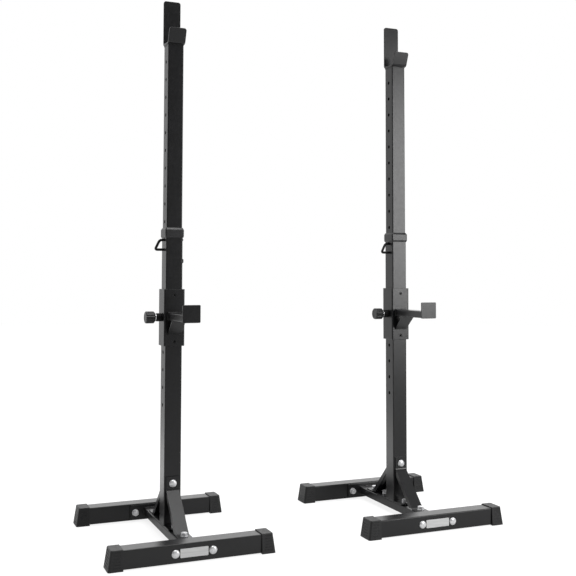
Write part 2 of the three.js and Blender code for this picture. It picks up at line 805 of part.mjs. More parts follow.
// Fluted outline of the knob: each flute is a shallow scoop between two lands.
function knobOutline() {
  const points = [];
  for (let k = 0; k < knobFlutes; k++) {
    knobFluteShares.forEach(([turnShare, depthShare]) => {
      const angle = (2 * Math.PI * (k + turnShare)) / knobFlutes;
      const radius = knobRadius - knobEdge - depthShare * knobFluteDepth;
      points.push(new THREE.Vector2(radius * Math.cos(angle), radius * Math.sin(angle)));
    });
  }
  return new THREE.Shape(points);
}

function makeKnob() {
  const noseTip = uprightHalf - sleeveHalf - noseReach;
  const stem = turned(
    [
      [0, noseTip],
      [noseRadius, noseTip],
      [noseRadius, shoulderFace],
      [shoulderRadius, shoulderFace],
      [shoulderRadius, shoulderFace + shoulderThickness],
      [stemRadius, shoulderFace + shoulderThickness],
      [stemRadius, knobNeck],
      [knobNeckRadius, knobNeck],
      [knobNeckRadius, knobShoulder + overrun],
      [0, knobShoulder + overrun],
    ],
    turnedSides,
  );
  const grip = new THREE.ExtrudeGeometry(knobOutline(), {
    depth: knobEnd - knobShoulder - 2 * knobEdge,
    bevelThickness: knobEdge,
    bevelSize: knobEdge,
    bevelSegments: 1,
  });
  grip.rotateY(-Math.PI / 2).translate(-knobShoulder - knobEdge, 0, 0);
  return join(stem, solid(grip));
}

// The plunger's coil spring, wound along X between the shoulder and the barrel's end.
class Coil extends THREE.Curve {
  getPoint(t, target = new THREE.Vector3()) {
    const angle = 2 * Math.PI * springTurns * t;
    const length = springOuter - springInner - 2 * springWire;
    const out = springInner + springWire + length * t;
    return target.set(-out, springCoil * Math.cos(angle), springCoil * Math.sin(angle));
  }
}

function makeSpring() {
  return solid(
    new THREE.ExtrudeGeometry(ringOutline(springWire, springSides), {
      steps: springTurns * springSteps,
      extrudePath: new Coil(),
    }),
  );
}

// One group for each place, with the solids that stand in it.
function place(parent, x, y, z) {
  const group = new THREE.Group();
  group.position.set(x, y, z);
  parent.add(group);
  return group;
}

const solids = {
  shoe: makeShoe(),
  foot: makeFoot(),
  beam: makeBeam(),
  upright: makeUpright(),
  brace: makeBrace(),
  footBolt: makeBolt(footSize + seatGap + flangeThickness),
  baseBolt: makeBolt(beamHeight + seatGap + basePlateThickness),
  braceBolt: makeBolt(beamHeight + seatGap + braceThickness),
  throughBolt: makeBolt(uprightSize + 2 * (seatGap + braceThickness)),
  sideScrew: makeSideScrew(),
  collar: makeCollar(),
  mast: makeMast(),
  hook: makeHook(),
  lockPin: makeLockPin(),
  sleeve: makeSleeve(),
  liner: makeLiner(),
  arm: makeArm(),
  barrel: makeBarrel(),
  knob: makeKnob(),
  spring: makeSpring(),
};

function makeStand(name) {
  const stand = new THREE.Group();
  const add = (label, made, finish, parent = stand) => {
    const mesh = piece(name + "_" + label, made, finish);
    parent.add(mesh);
    return mesh;
  };

  const rows = [["front", -1, frontFootSetback], ["rear", 1, rearFootSetback]];
  for (const [row, side, setback] of rows) {
    const foot = place(stand, 0, side * setback, 0);
    add(row + "_foot_tube", solids.foot, "paint", foot).position.z = footAxis;
    for (const [end, hand] of [["left", -1], ["right", 1]]) {
      const shoe = add(row + "_" + end + "_shoe", solids.shoe, "rubber", foot);
      shoe.position.x = (hand * footLength) / 2;
      shoe.rotation.z = hand < 0 ? Math.PI : 0;
      const bolt = add(row + "_foot_bolt_" + end, solids.footBolt, "zinc", foot);
      bolt.position.set(hand * footBoltOffset, side * (footSize / 2 + seatGap), footAxis);
      bolt.rotation.x = (side * Math.PI) / 2;
    }
    const brace = add(row + "_brace", solids.brace, "paint");
    brace.rotation.z = side > 0 ? Math.PI : 0;
    const braceBolt = add(row + "_brace_bolt", solids.braceBolt, "zinc");
    braceBolt.position.set(0, side * braceBoltReach, beamBottom - seatGap);
    const baseBolt = add(row + "_base_bolt", solids.baseBolt, "zinc");
    const reach = side < 0 ? -frontBaseBolt : rearBaseBolt;
    baseBolt.position.set(0, reach, beamBottom - seatGap);
  }
  add("cross_beam", solids.beam, "paint");
  add("upright_tube", solids.upright, "paint");
  const through = add("brace_through_bolt", solids.throughBolt, "zinc");
  through.position.set(0, -uprightHalf - braceThickness - 2 * seatGap, braceBoltHeight);
  through.rotation.x = -Math.PI / 2;
  const screw = add("side_screw", solids.sideScrew, "blackSteel");
  screw.position.set(uprightHalf + seatGap, 0, sideScrewHeight);
  screw.rotation.y = -Math.PI / 2;
  add("collar", solids.collar, "plastic");
  add("lock_pin", solids.lockPin, "blackSteel").position.z = pinHeight;

  const mast = place(stand, 0, 0, 0);
  add("mast_tube", solids.mast, "paint", mast);
  add("bar_hook", solids.hook, "paint", mast);

  const carriage = place(stand, 0, 0, 0);
  add("carriage_sleeve", solids.sleeve, "paint", carriage);
  add("carriage_liner", solids.liner, "plastic", carriage);
  add("catch_arm", solids.arm, "paint", carriage);
  const springPin = place(carriage, -sleeveHalf, 0, springPinHeight);
  add("pin_barrel", solids.barrel, "blackSteel", springPin);
  add("pull_knob", solids.knob, "plastic", springPin);
  add("plunger_spring", solids.spring, "springSteel", springPin);
  return stand;
}

const group = new THREE.Group();
for (const [name, hand] of [["left", -1], ["right", 1]]) {
  const stand = makeStand(name);
  stand.position.x = (hand * standSpacing) / 2;
  stand.position.y = (frontFootSetback - rearFootSetback) / 2;
  group.add(stand);
}

export default group;
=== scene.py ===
import math

import bmesh
import bpy
from mathutils import Matrix, Vector


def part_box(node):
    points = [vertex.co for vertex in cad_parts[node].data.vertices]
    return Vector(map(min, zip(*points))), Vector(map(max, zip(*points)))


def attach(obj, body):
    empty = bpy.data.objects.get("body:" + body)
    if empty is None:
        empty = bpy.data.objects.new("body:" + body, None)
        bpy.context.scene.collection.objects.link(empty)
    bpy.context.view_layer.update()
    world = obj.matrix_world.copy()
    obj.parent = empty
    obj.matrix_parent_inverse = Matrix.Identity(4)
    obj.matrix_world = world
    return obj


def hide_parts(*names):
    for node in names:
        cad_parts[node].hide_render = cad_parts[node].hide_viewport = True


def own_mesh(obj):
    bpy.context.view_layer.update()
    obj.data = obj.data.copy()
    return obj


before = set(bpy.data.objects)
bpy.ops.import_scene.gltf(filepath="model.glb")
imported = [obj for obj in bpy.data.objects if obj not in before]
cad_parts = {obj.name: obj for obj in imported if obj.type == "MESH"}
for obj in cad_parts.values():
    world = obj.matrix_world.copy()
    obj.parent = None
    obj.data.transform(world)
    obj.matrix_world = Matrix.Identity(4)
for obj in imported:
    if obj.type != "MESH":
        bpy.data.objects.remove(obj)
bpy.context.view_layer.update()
scene = bpy.context.scene

# Pieces are shaped in millimetres about their own stand's axis and then set down in metres.
MM = 0.001
AXIS = {side: sum(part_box(side + "_collar"), Vector()) / 2 for side in ("left", "right")}

# Sizes in millimetres, as the solids have them. A tube's four are width, depth, wall and corner.
GAP = 0.3  # between pieces that bear on each other
WELD = 1  # how far the members of a weldment run into each other
OVERRUN = 3  # how far a drill runs past a plate
NEAR = 0.1  # corners and edges this near to a plane count as on it

FOOT_TUBE = (52, 52, 2, 3)
FOOT_AXIS = 28.0
FOOT_SETBACK = {"front": 230.0, "rear": 252.0}
FOOT_HALF = 26.0
FOOT_HALF_LENGTH = 228.0

BEAM_TUBE = (50, 25, 2, 3)
BEAM_TOP = 40.5
BEAM_BOTTOM = 15.5
FLANGE_FACE = {"front": 203.7, "rear": 225.7}
FLANGE_THICKNESS = 5.0

UPRIGHT_TUBE = (52, 52, 1.2, 3)
UPRIGHT_HALF = 26.0
UPRIGHT_TOP = 930.0
PLATE_TOP = 44.8
BRACE_THICKNESS = 3.2

MAST_TUBE = (49, 49, 1.5, 3)
MAST_BOTTOM = 745.6
MAST_TOP = 1503.0
MAST_PITCH = 55

SLEEVE_TUBE = (64.5, 64.5, 3, 4)
LINER_TUBE = (57.9, 57.9, 2.65, 5.5)
SLEEVE_HALF = 32.25
SLEEVE_BOTTOM = 577.5
SLEEVE_TOP = 749.0
BUTTON_HEIGHTS = (591.5, 731.0)
CARRIAGE_PITCH = 53
ARM_TUBE = (42, 22, 2, 2.5)

# Bolts, pins and their holes: radii, places from the stand's middle and heights
BOLT_RADIUS = 5
BOLT_HOLE = BOLT_RADIUS + GAP
HEAD_RADIUS = 11.5
BOLT_OFFSET = 54.0  # across, to each foot bolt
BRACE_BOLT = 155  # forwards and backwards, to each brace's foot
BASE_BOLT = {"front": -55, "rear": 78}
THROUGH_BOLT_HEIGHT = 167.5
SIDE_SCREW_HEIGHT = 835
LOCK_HOLE_HEIGHT = 901
PIN_HEIGHT = 900.3  # the pin lies on the lower side of the upright's hole
MAST_HOLE_HEIGHT = 899.6  # and the mast hangs on the pin
SPRING_PIN_HEIGHT = 663.5

# Where drills start and end
THROUGH_TUBE = (-30, 30)
THROUGH_BEAM = (5, 45)
THROUGH_PLATE = (35, 50)


# ---------------------------------------------------------------- camera
def place_camera():
    data = bpy.data.cameras.new("camera")
    data.sensor_width = 36.0
    data.lens = 57.01
    data.shift_y = -0.10682
    data.clip_start = 0.05
    data.clip_end = 60.0
    camera = bpy.data.objects.new("camera", data)
    scene.collection.objects.link(camera)
    camera.location = (-1.14461, -2.73152, 0.79173)
    camera.rotation_euler = [math.radians(angle) for angle in (93.064, -0.115, -22.72)]
    scene.camera = camera


# ---------------------------------------------------------------- making meshes
def rest():
    """Back to object mode with nothing selected."""
    if bpy.context.object and bpy.context.object.mode != "OBJECT":
        bpy.ops.object.mode_set(mode="OBJECT")
    bpy.ops.object.select_all(action="DESELECT")


def hold(piece):
    rest()
    piece.select_set(True)
    bpy.context.view_layer.objects.active = piece


def settle(piece):
    """A new primitive's place and size go into its mesh."""
    bpy.ops.object.transform_apply(location=True, rotation=True, scale=True)
    return piece


def block(low, high):
    low, high = Vector(low), Vector(high)
    rest()
    bpy.ops.mesh.primitive_cube_add(size=1, location=(low + high) / 2, scale=high - low)
    return settle(bpy.context.object)


def rod(radius, start, end, axis="Z", at=(0, 0), sides=32):
    """A round bar along one axis; at holds its place on the two other axes in order."""
    middle = (start + end) / 2
    spot = {"X": (middle, *at), "Y": (at[0], middle, at[1]), "Z": (*at, middle)}[axis]
    turn = {"X": (0, math.pi / 2, 0), "Y": (math.pi / 2, 0, 0), "Z": (0, 0, 0)}[axis]
    rest()
    bpy.ops.mesh.primitive_cylinder_add(
        vertices=sides, radius=radius, depth=end - start, location=spot, rotation=turn
    )
    return settle(bpy.context.object)


def edit(piece):
    hold(piece)
    bpy.ops.object.mode_set(mode="EDIT")


def pick(kind, test):
    """Selects the corners, edges or faces of the open mesh that pass the test."""
    bpy.ops.mesh.select_mode(type=kind)
    bpy.ops.mesh.select_all(action="DESELECT")
    data = bpy.context.object.data
    mesh = bmesh.from_edit_mesh(data)
    items = {"VERT": mesh.verts, "EDGE": mesh.edges, "FACE": mesh.faces}[kind]
    for item in items:
        if test(item):
            item.select_set(True)
    mesh.select_flush_mode()
    bmesh.update_edit_mesh(data)


def middle_of(edge):
    return (edge.verts[0].co + edge.verts[1].co) / 2


def run_of(edge):
    return edge.verts[1].co - edge.verts[0].co


def along(axis):
    """A test for edges that run along one axis."""
    index = "XYZ".index(axis)

    def test(edge):
        run = run_of(edge)
        return abs(run[index]) > 0.999 * run.length

    return test


def round_edges(piece, test, radius, steps=5):
    edit(piece)
    pick("EDGE", test)
    bpy.ops.mesh.bevel(offset=radius, offset_type="OFFSET", segments=steps, affect="EDGES")
    rest()
    return piece


def shift(piece, test, step):
    """Moves the corners that pass the test."""
    edit(piece)
    pick("VERT", test)
    bpy.ops.transform.translate(value=step)
    rest()
    return piece


def change(piece, kind, **settings):
    """Adds one modifier and applies it."""
    hold(piece)
    modifier = piece.modifiers.new(kind, kind)
    for key, value in settings.items():
        setattr(modifier, key, value)
    bpy.ops.object.modifier_apply(modifier=modifier.name)
    return piece


def joined(first, *others):
    hold(first)
    for other in others:
        other.select_set(True)
    if others:
        bpy.ops.object.join()
    return first


def combine(piece, operation, *tools):
    tool = joined(*tools)
    change(piece, "BOOLEAN", operation=operation, solver="EXACT", object=tool)
    bpy.data.objects.remove(tool)
    return piece


def cut(piece, *tools):
    return combine(piece, "DIFFERENCE", *tools)


def weld(piece, *tools):
    for tool in tools:
        combine(piece, "UNION", tool)
    return piece


def turned(profile, sides=40):
    """A turned solid about Z through (radius, height) levels, closed at both ends."""
    (radius, height), *others = profile
    rest()
    bpy.ops.mesh.primitive_circle_add(
        vertices=sides, radius=radius, fill_type="NGON", location=(0, 0, height)
    )
    piece = settle(bpy.context.object)
    edit(piece)
    bpy.ops.mesh.select_all(action="SELECT")
    for next_radius, next_height in others:
        bpy.ops.mesh.extrude_region_move(
            TRANSFORM_OT_translate={"value": (0, 0, next_height - height)}
        )
        share = next_radius / radius
        bpy.ops.transform.resize(value=(share, share, 1), center_override=(0, 0, next_height))
        radius, height = next_radius, next_height
    face_out()
    rest()
    return piece


def face_out():
    bpy.ops.mesh.select_all(action="SELECT")
    bpy.ops.mesh.remove_doubles(threshold=0.001)
    bpy.ops.mesh.normals_make_consistent(inside=False)


def square_tube(width, depth, wall, radius, start, end):
    """A square tube that stands along Z, rounded outside and inside."""
    piece = block((-width / 2, -depth / 2, start), (width / 2, depth / 2, end))
    round_edges(piece, along("Z"), radius)
    edit(piece)
    pick("FACE", lambda face: abs(face.normal.z) > 0.9)
    bpy.ops.mesh.inset(thickness=wall, use_even_offset=True)
    bpy.ops.mesh.bridge_edge_loops()
    face_out()
    rest()
    return piece


def strip(width, low, high, y):
    """An upright flat sheet across X, from low to high."""
    rest()
    middle, upright = (0, y, (low + high) / 2), (math.pi / 2, 0, 0)
    bpy.ops.mesh.primitive_plane_add(size=1, location=middle, rotation=upright)
    sheet = bpy.context.object
    sheet.scale = (width, high - low, 1)
    return settle(sheet)


def rounded_bar(width, depth, radius, start, end):
    bar = block((-width / 2, -depth / 2, start), (width / 2, depth / 2, end))
    return round_edges(bar, along("Z"), radius)


def laid(piece, axis, at=(0, 0, 0)):
    """Lays a piece made along Z down along X or Y, and moves it."""
    turn = {
        "X": Matrix.Rotation(math.pi / 2, 4, "Y") @ Matrix.Rotation(math.pi / 2, 4, "Z"),
        "Y": Matrix.Rotation(-math.pi / 2, 4, "X"),
        "Z": Matrix.Identity(4),
    }[axis]
    piece.data.transform(Matrix.Translation(at) @ turn)
    return piece


def wire(points, radius, closed=False, shares=None, sides=16):
    """A round wire through the points, as a mesh; shares thin it point by point."""
    rest()
    data = bpy.data.curves.new("wire", "CURVE")
    data.dimensions = "3D"
    data.bevel_depth = radius
    data.bevel_resolution = sides // 4
    data.use_fill_caps = True
    line = data.splines.new("POLY")
    line.points.add(len(points) - 1)
    for k, point in enumerate(points):
        line.points[k].co = (*point, 1)
        line.points[k].radius = shares[k] if shares else 1
    line.use_cyclic_u = closed
    piece = bpy.data.objects.new("wire", data)
    scene.collection.objects.link(piece)
    hold(piece)
    bpy.ops.object.convert(target="MESH")
    piece = bpy.context.object
    edit(piece)
    face_out()
    rest()
    return piece


def ring_path(width, depth, radius, height, spacing=3.0):
    """Points round a rounded rectangle, about evenly spaced."""
    corners = []
    for k, (sx, sy) in enumerate([(1, 1), (-1, 1), (-1, -1), (1, -1)]):
        centre = Vector((sx * (width / 2 - radius), sy * (depth / 2 - radius), height))
        for step in range(4):
            angle = math.pi / 2 * (k + step / 3)
            corners.append(centre + radius * Vector((math.cos(angle), math.sin(angle), 0)))
    points = []
    for start, end in zip(corners, corners[1:] + corners[:1]):
        count = max(1, round((end - start).length / spacing))
        points += [start.lerp(end, n / count) for n in range(count)]
    return points


def smooth(piece):
    hold(piece)
    bpy.ops.object.shade_smooth()
    return piece


def bead(points, radius=2.0, closed=True):
    """A weld bead: a wire whose thickness rises and falls with each ripple."""
    shares = [1.0 if k % 2 else 0.86 for k in range(len(points))]
    return smooth(wire(points, radius, closed, shares, sides=8))


def seam(tube, height=0, radius=2.0):
    """A weld bead all round a square tube."""
    width, depth, _, corner = tube
    return bead(ring_path(width, depth, corner, height), radius)


def polish(piece, edge=0.5, steps=2, angle=32):
    """Breaks the sharp edges and smooths what is left."""
    if edge:
        change(
            piece,
            "BEVEL",
            width=edge,
            segments=steps,
            limit_method="ANGLE",
            angle_limit=math.radians(angle),
        )
    hold(piece)
    bpy.ops.object.shade_smooth_by_angle(angle=math.radians(angle))
    return change(piece, "WEIGHTED_NORMAL", keep_sharp=True)


# ---------------------------------------------------------------- frame pieces
def make_foot():
    tube = square_tube(*FOOT_TUBE, -FOOT_HALF_LENGTH, FOOT_HALF_LENGTH)
    laid(tube, "X", (0, 0, FOOT_AXIS))
    places = [(x, FOOT_AXIS) for x in (-BOLT_OFFSET, BOLT_OFFSET)]
    drills = [rod(BOLT_HOLE, *THROUGH_TUBE, "Y", at) for at in places]
    return polish(cut(tube, *drills), 0.3)


def make_shoe():
    """A shoe on the right-hand end, with the tube's end at x 0, and its moulded grooves."""
    inner, reach, top = -29, 13, 56.5
    foot_half, top_half = 32, 28.5
    end_lean, side_lean = 8, foot_half - top_half
    body = block((inner, -foot_half, 0), (reach, foot_half, top))
    shift(body, lambda v: v.co.z > top - 1 and v.co.x > 0, (-end_lean, 0, 0))
    for side in (-1, 1):
        step = (0, -side * side_lean, 0)
        shift(body, lambda v: v.co.z > top - 1 and v.co.y * side > 0, step)

    def outer_corner(edge):
        run = run_of(edge)
        return run.z ** 2 > 0.8 * run.length_squared and middle_of(edge).x > 0

    def top_edge(edge):
        return min(v.co.z for v in edge.verts) > top - NEAR and middle_of(edge).x > inner + NEAR

    round_edges(body, outer_corner, 6)
    round_edges(body, top_edge, 2, 4)

    bore, corner, past = FOOT_TUBE[0] + 2 * GAP, FOOT_TUBE[3], 4
    tools = [laid(rounded_bar(bore, bore, corner, inner - past, GAP), "X", (0, 0, FOOT_AXIS))]
    lowest, pitch, half, depth = 11, 7.9, 1.3, 1.1
    groove_start, end_margin, side_margin = -21, 8, 9
    for k in range(6):
        z = lowest + pitch * k
        lean = 1 - z / top
        side_face = top_half + side_lean * lean
        end_face = reach - end_lean + end_lean * lean
        for side in (-1, 1):
            near, far = sorted((side * (side_face - depth), side * (side_face + past)))
            low, high = (groove_start, near, z - half), (end_face - end_margin, far, z + half)
            tools.append(block(low, high))
        wide = side_face - side_margin
        low, high = (end_face - depth, -wide, z - half), (end_face + past, wide, z + half)
        tools.append(block(low, high))
    cut(body, *tools)
    return polish(body, 0.7, 2, 25)


def make_beam():
    starts = (-FLANGE_FACE["front"], FLANGE_FACE["rear"] - FLANGE_THICKNESS)
    inner_faces = (starts[0] + FLANGE_THICKNESS, starts[1])
    tube = square_tube(*BEAM_TUBE, inner_faces[0] - WELD, inner_faces[1] + WELD)
    laid(tube, "Y", (0, 0, FOOT_AXIS))
    width, height, corner = 140, 45, 4
    plates, drills = [], []
    for y in starts:
        plate = rounded_bar(width, height, corner, 0, FLANGE_THICKNESS)
        plates.append(laid(plate, "Y", (0, y, FOOT_AXIS)))
        ends = (y - OVERRUN, y + FLANGE_THICKNESS + OVERRUN)
        drills += [rod(BOLT_HOLE, *ends, "Y", (x, FOOT_AXIS)) for x in (-BOLT_OFFSET, BOLT_OFFSET)]
    weld(tube, *plates)
    for y in (-BRACE_BOLT, *BASE_BOLT.values(), BRACE_BOLT):
        drills.append(rod(BOLT_HOLE, *THROUGH_BEAM, "Z", (0, y)))
    polish(cut(tube, *drills), 0.5)
    stand = 0.5
    seams = []
    for y in (inner_faces[0] + stand, inner_faces[1] - stand):
        seams.append(laid(seam(BEAM_TUBE), "Y", (0, y, FOOT_AXIS)))
    return joined(tube, *seams)


def make_upright():
    tube = square_tube(*UPRIGHT_TUBE, PLATE_TOP - WELD, UPRIGHT_TOP)
    half_width, front, rear, corner = 25, -75, 98, 3
    plate = block((-half_width, front, BEAM_TOP + GAP), (half_width, rear, PLATE_TOP))
    weld(tube, round_edges(plate, along("Z"), corner))
    lock_hole, carriage_hole, screw_hole = 5.0, 5.5, 4.3
    drills = [rod(lock_hole, *THROUGH_TUBE, "X", (0, LOCK_HOLE_HEIGHT))]
    for k in range(-5, 2):
        place = (0, SPRING_PIN_HEIGHT + CARRIAGE_PITCH * k)
        drills.append(rod(carriage_hole, *THROUGH_TUBE, "X", place))
    drills.append(rod(screw_hole, 0, THROUGH_TUBE[1], "X", (0, SIDE_SCREW_HEIGHT)))
    drills.append(rod(BOLT_HOLE, *THROUGH_TUBE, "Y", (0, THROUGH_BOLT_HEIGHT)))
    for y in BASE_BOLT.values():
        drills.append(rod(BOLT_HOLE, *THROUGH_PLATE, "Z", (0, y)))
    polish(cut(tube, *drills), 0.4)
    return joined(tube, seam(UPRIGHT_TUBE, PLATE_TOP + 0.3))


def make_brace():
    """The front brace: a pressed channel, bent where it meets the upright and the beam."""
    width, half = 40, BRACE_THICKNESS / 2
    top, bend_height, bend_y, toe, bend = 188, 148, -134, 41, 4
    back, floor = -UPRIGHT_HALF - GAP - half, BEAM_TOP + GAP + half
    upper, lower = Vector((0, back, bend_height)), Vector((0, bend_y, floor))
    rise = upper - lower
    length, up = rise.length, rise.normalized()
    inward = Vector((0, up.z, -up.y))
    sheet = strip(width, upper.z, top, back)
    edit(sheet)
    pick("EDGE", lambda e: middle_of(e).z < upper.z + NEAR)
    for step in (-rise, Vector((0, -toe, 0))):
        bpy.ops.mesh.extrude_region_move(TRANSFORM_OT_translate={"value": step})
    rest()
    for corner in (upper, lower):

        def at_corner(edge):
            return abs(run_of(edge).x) > width / 2 and (middle_of(edge) - corner).length < NEAR

        round_edges(sheet, at_corner, bend, 6)
    edit(sheet)
    face_out()
    rest()
    change(sheet, "SOLIDIFY", thickness=2 * half, offset=0, use_even_offset=True)

    # the two long edges of the sloped part are folded back, and the folds' ends drawn in
    turn = Matrix((Vector((1, 0, 0)), inward, up)).transposed().to_4x4()
    stand = Matrix.Translation(lower) @ turn
    margin, depth, draw = 2.5, 12.6, 10
    low_end, high_end = margin + 0.5, length - margin - 0.5
    for side in (-1, 1):
        x = side * (width / 2 - half)
        fold = block((x - half, 0, margin), (x + half, depth, length - margin))
        shift(fold, lambda v: v.co.y > 1 and v.co.z < low_end, (0, 0, draw))
        shift(fold, lambda v: v.co.y > 1 and v.co.z > high_end, (0, 0, -draw))
        fold.data.transform(stand)
        weld(sheet, fold)
    change(sheet, "DECIMATE", decimate_type="DISSOLVE", angle_limit=0.001)
    outer = (upper - inward * half).dot(inward)

    def along_fold(edge):
        middle = middle_of(edge)
        sloped = abs(run_of(edge).normalized().dot(up)) > 0.999
        at_side = abs(middle.x) > width / 2 - NEAR
        return sloped and at_side and abs(middle.dot(inward) - outer) < NEAR

    round_edges(sheet, along_fold, 2.8)
    upright_wall = (-35, -20)
    drills = [
        rod(BOLT_HOLE, *upright_wall, "Y", (0, THROUGH_BOLT_HEIGHT)),
        rod(BOLT_HOLE, *THROUGH_PLATE, "Z", (0, -BRACE_BOLT)),
    ]
    return polish(cut(sheet, *drills), 0.4)


# ---------------------------------------------------------------- fasteners
def dome(radius, height, rim):
    """Levels of a domed head that ends at height 0, from its crown."""
    levels, steps = [], 7
    for k in range(steps, -1, -1):
        angle = math.pi / 2 * k / (steps + 0.3)  # the crown ends in a small flat
        levels.append((radius * math.cos(angle), -rim - (height - rim) * math.sin(angle)))
    return levels


def hexagon(across_flats, start, end):
    return rod(across_flats / 2 / math.cos(math.pi / 6), start, end, sides=6)


def make_bolt(grip):
    """Along +Z from the seat under its head: domed head, shank, washer, nut and thread end."""
    washer_radius, washer_height = 10.5, 2
    nut_flats, nut_height, nut_corner = 17, 9, 9.9
    thread_end, chamfer = 0.8, 0.7
    washer = 2 * GAP + grip
    nut = washer + washer_height
    tip = nut + nut_height + thread_end
    levels = dome(HEAD_RADIUS, 5.5, 1.2)
    levels += [(HEAD_RADIUS, 0), (BOLT_RADIUS, 0), (BOLT_RADIUS, washer)]
    levels += [(washer_radius, washer), (washer_radius, nut), (BOLT_RADIUS, nut)]
    levels += [(BOLT_RADIUS, tip - chamfer), (BOLT_RADIUS - chamfer, tip)]
    bolt = turned(levels)
    blank = hexagon(nut_flats, nut - 0.5, nut + nut_height)
    outer_end = [(nut_corner, nut + nut_height - 1), (nut_corner - 1.6, nut + nut_height + 0.1)]
    combine(blank, "INTERSECT", turned([(nut_corner, nut - 1), *outer_end]))
    weld(bolt, blank)
    return polish(bolt, 0.25, 2, 28)


def make_side_screw():
    """A hexagon screw with its lock nut, along +Z from the seat under the nut."""
    screw = turned([(4, -8), (4, 1.5)], 24)
    nut = [(7.4, -4), (7.4, 0)]
    head = [(6.3, -8), (7.4, -7.2), (7.4, -0.8), (6.3, 0)]
    for start, end, outline in ((-3.9, 0, nut), (-8, -4.1, head)):
        blank = hexagon(13, start, end)
        combine(blank, "INTERSECT", turned(outline))
        weld(screw, blank)
    return polish(screw, 0.2, 2, 28)


def make_name_plate():
    """The bare plate between the heads of the front foot's bolts."""
    half_width, half_height, thickness, corner = 40.5, 12.3, 0.85, 2.2
    rim, recess = 1.2, 0.3
    back = -FOOT_SETBACK["front"] - FOOT_HALF - 0.05
    low = (-half_width, back - thickness, FOOT_AXIS - half_height)
    high = (half_width, back, FOOT_AXIS + half_height)
    plate = round_edges(block(low, high), along("Y"), corner)
    edit(plate)
    pick("FACE", lambda face: face.normal.y < -0.9)
    bpy.ops.mesh.inset(thickness=rim)
    bpy.ops.transform.translate(value=(0, recess, 0))
    rest()
    return polish(plate, 0.15)


# ---------------------------------------------------------------- upright's top, mast and hook
def make_collar():
    size, bottom, top = 59, 905.5, 936
    body = rounded_bar(size, size, 4.5, bottom, top)
    edit(body)
    for height in (910.5, 930):
        bpy.ops.mesh.select_all(action="SELECT")
        bpy.ops.mesh.bisect(plane_co=(0, 0, height), plane_no=(0, 0, 1))
    for height, end_size in ((bottom, 55.8), (top, 52.2)):
        pick("VERT", lambda v: abs(v.co.z - height) < NEAR)
        share = end_size / size
        bpy.ops.transform.resize(value=(share, share, 1), center_override=(0, 0, height))
    rest()
    low, high = 900, 940  # past both ends
    for (width, depth, _, corner), end in ((UPRIGHT_TUBE, UPRIGHT_TOP + GAP), (MAST_TUBE, high)):
        cut(body, rounded_bar(width + 2 * GAP, depth + 2 * GAP, corner, low, end))
    return polish(body, 0.7, 3, 12)


def make_mast():
    tube = square_tube(*MAST_TUBE, MAST_BOTTOM, MAST_TOP)
    heights = [MAST_HOLE_HEIGHT + MAST_PITCH * k for k in range(-2, 11)]
    drills = [rod(5.4, *THROUGH_TUBE, "X", (0, height)) for height in heights]
    return polish(cut(tube, *drills), 0.4)


def make_hook():
    """The bar hook: one bent plate with a tall back and a short lip that leans forward."""
    width, thickness, corner = 54, 5, 7.5
    back, back_top = 26.5, 1648.5
    lip_foot, lip_lean, lip_top = -29.5, -17, 1549
    level = MAST_TOP + GAP + thickness / 2
    sheet = strip(width, level, back_top, back)
    edit(sheet)
    pick("EDGE", lambda e: middle_of(e).z < level + NEAR)
    for step in ((0, lip_foot - back, 0), (0, lip_lean, lip_top - level)):
        bpy.ops.mesh.extrude_region_move(TRANSFORM_OT_translate={"value": step})
    rest()
    for y, reach in ((back, 9.0), (lip_foot, 6.2)):

        def at_bend(edge):
            middle = middle_of(edge)
            return abs(middle.y - y) < NEAR and abs(middle.z - level) < NEAR

        round_edges(sheet, at_bend, reach, 8)

    def at_tip(vertex):
        above, on_lip = vertex.co.z > back_top - 0.5, vertex.co.z > lip_top - 0.5
        return above or (on_lip and vertex.co.y < 0)

    edit(sheet)
    pick("VERT", at_tip)
    bpy.ops.mesh.bevel(offset=corner, segments=8, affect="VERTICES")
    face_out()
    rest()
    change(sheet, "SOLIDIFY", thickness=thickness, offset=0, use_even_offset=True)
    polish(sheet, 0.7, 3)
    return joined(sheet, seam(MAST_TUBE, MAST_TOP - 0.4, 1.8))


def make_lock_pin():
    """The straight pin and its bent wire handle, one wire all the way."""
    radius, reach, steps = 4, 7.5, 8  # reach: from where each bend starts to its corner
    z = PIN_HEIGHT
    tip, tip_end, tip_share = 34, 32.8, 0.7
    handle = [(-39.5, z - 1.5), (-54, z - 31), (-26.4, z - 31)]
    corners = [Vector((x, 0, height)) for x, height in [(tip, z), (tip_end, z), *handle]]
    points, shares = [corners[0], corners[1]], [tip_share, 1.0]
    for before, corner, after in zip(corners[1:], corners[2:], corners[3:]):
        start = corner + (before - corner).normalized() * reach
        end = corner + (after - corner).normalized() * reach
        for k in range(steps + 1):
            t = k / steps
            points.append(start.lerp(corner, t).lerp(corner.lerp(end, t), t))
            shares.append(1.0)
    points.append(corners[-1])
    shares.append(1.0)
    return polish(wire(points, radius, False, shares, 32), 0, angle=40)


# ---------------------------------------------------------------- carriage
def make_sleeve():
    tube = square_tube(*SLEEVE_TUBE, SLEEVE_BOTTOM, SLEEVE_TOP)
    wall = (-36, -20)
    button_hole, barrel_hole = 4.3, 8.3
    drills = [rod(button_hole, *wall, "Y", (0, z)) for z in BUTTON_HEIGHTS]
    drills.append(rod(barrel_hole, *wall, "X", (0, SPRING_PIN_HEIGHT)))
    return polish(cut(tube, *drills), 0.8, 3)


